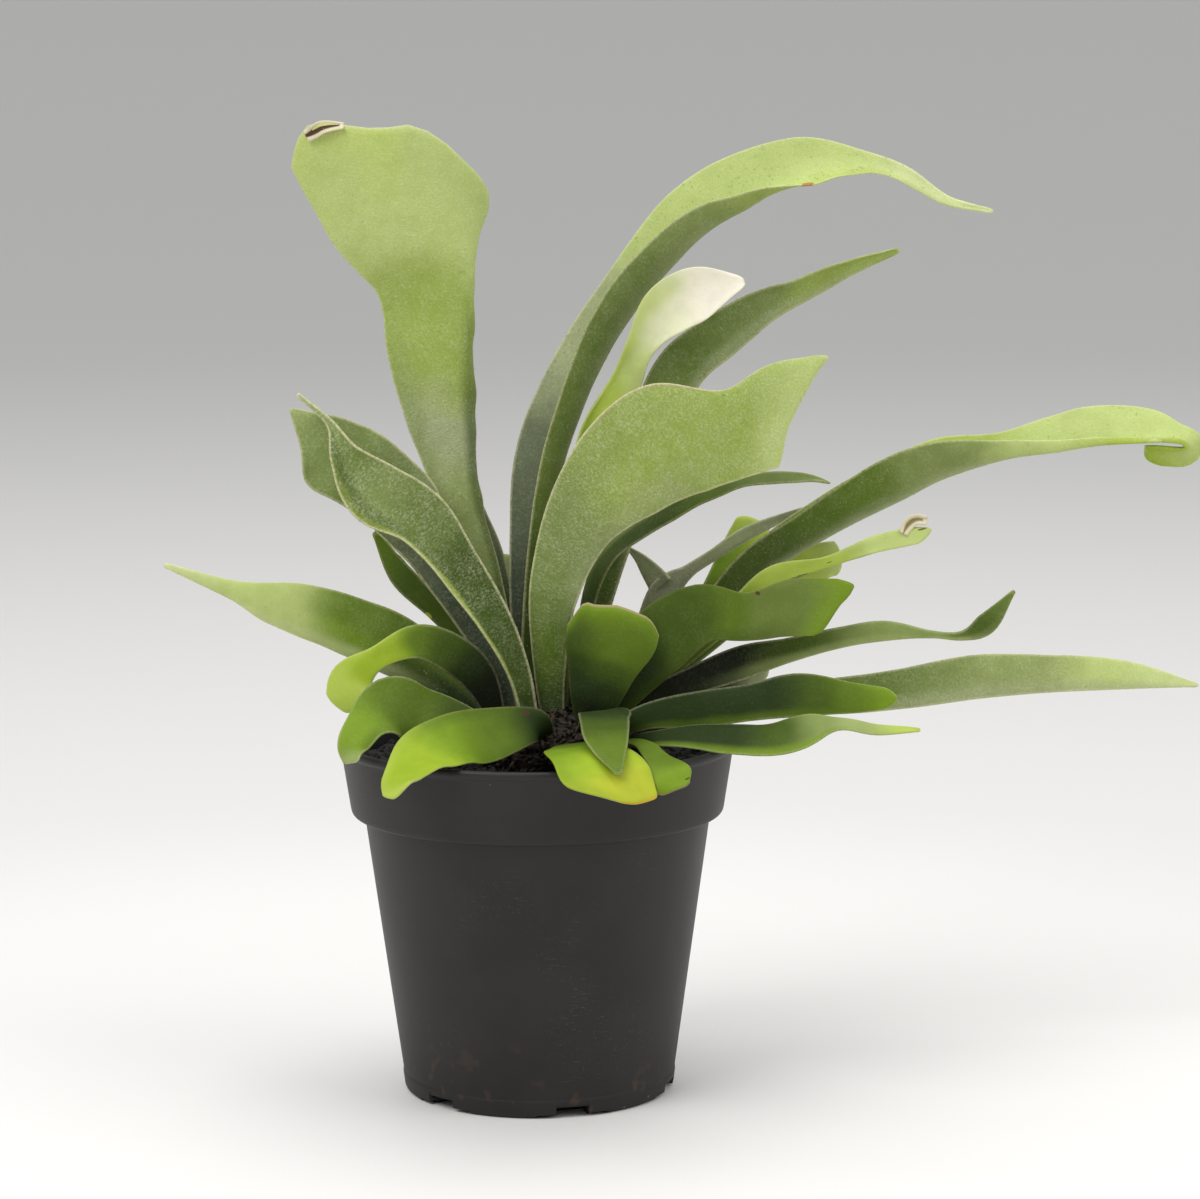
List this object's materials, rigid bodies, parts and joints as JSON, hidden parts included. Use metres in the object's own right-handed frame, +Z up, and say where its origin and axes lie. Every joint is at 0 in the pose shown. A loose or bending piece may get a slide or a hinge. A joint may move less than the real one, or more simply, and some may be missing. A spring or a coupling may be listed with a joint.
{
  "type": "potted staghorn fern",
  "caption": "Young staghorn fern with felted, forked and curling fronds fanning out of a short crown in a round tapered nursery pot filled with potting mix.",
  "frame": {"origin": "middle of the pot's foot, on the surface the pot stands on", "axes": "+Z up along the pot's axis, -Y towards the front of the plant, +X to the right of its front"},
  "size_m": [0.2794, 0.1193, 0.2582],
  "materials": {
    "pot": "matt, finely scratched, thin injection moulded",
    "potting_mix": "moist crumbly bark and peat mix",
    "crown": "fibrous rhizome under dry brown scales",
    "felted_frond": "grey-green felt of fine star hairs",
    "shaded_frond": "dark green, thin felt",
    "fresh_frond": "bright green, thinly felted",
    "lime_frond": "pale lime green, thinly felted",
    "cream_frond": "cream-white young tissue",
    "yellow_frond": "yellowing old blade"
  },
  "bodies": {
    "root": {"pot": "pot", "potting_mix": "potting_mix", "crown": "crown", "frond_tall_fan": "felted_frond", "frond_tall_arch": "felted_frond", "frond_young_cream": "cream_frond", "frond_back_slim": "felted_frond", "frond_broad_front": "felted_frond", "frond_edge_on": "shaded_frond", "frond_left_front": "felted_frond", "frond_left_behind": "felted_frond", "frond_left_dark": "shaded_frond", "frond_left_long": "felted_frond", "frond_left_curl": "fresh_frond", "frond_left_ruffled": "fresh_frond", "frond_front_droop": "fresh_frond", "frond_front_yellow": "yellow_frond", "frond_front_green": "fresh_frond", "frond_front_pointed": "shaded_frond", "frond_short_upright": "fresh_frond", "frond_forked": "fresh_frond", "frond_right_dark": "shaded_frond", "frond_right_pale": "felted_frond", "frond_right_front": "fresh_frond", "frond_right_low": "fresh_frond", "frond_long_right": "felted_frond", "frond_brown_tip": "lime_frond", "frond_back_lime": "lime_frond", "frond_back_right": "lime_frond", "frond_back_forked": "felted_frond", "frond_back_pale": "lime_frond", "frond_back_short": "lime_frond", "frond_behind_fan": "shaded_frond"}
  },
  "joints": []
}
